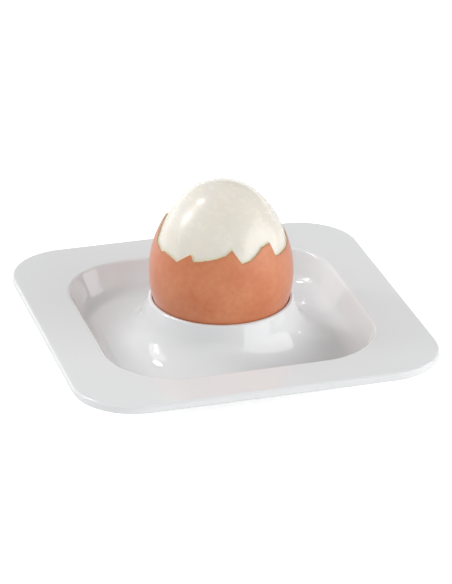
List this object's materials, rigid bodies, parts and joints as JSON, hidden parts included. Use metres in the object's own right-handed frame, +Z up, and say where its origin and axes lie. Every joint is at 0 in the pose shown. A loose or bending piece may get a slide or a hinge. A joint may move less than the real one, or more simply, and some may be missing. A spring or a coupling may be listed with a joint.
{
  "type": "egg holder tray",
  "caption": "Square moulded tray with a sunken well and a raised egg cup in its middle, holding a brown boiled egg whose cap is broken off.",
  "frame": {"origin": "on the table, under the centre of the cup", "axes": "+Z up along the cup and the egg; +X and +Y square to the tray's sides, -Y towards the viewer"},
  "size_m": [0.115, 0.115, 0.059],
  "materials": {
    "white_melamine": "glossy moulded white",
    "brown_eggshell": "dull, finely pored",
    "pale_membrane": "thin damp skin",
    "set_egg_white": "moist, slightly translucent",
    "set_yolk": "crumbly, matt"
  },
  "bodies": {
    "tray": {"tray": "white_melamine"},
    "egg": {"egg_shell": "brown_eggshell", "shell_membrane": "pale_membrane", "egg_white": "set_egg_white", "egg_yolk": "set_yolk"}
  },
  "joints": [
    {"name": "egg_lift", "type": "slide", "parent": "tray", "child": "egg", "axis": [0, 0, 1], "range_m": [0, 0.07]}
  ]
}
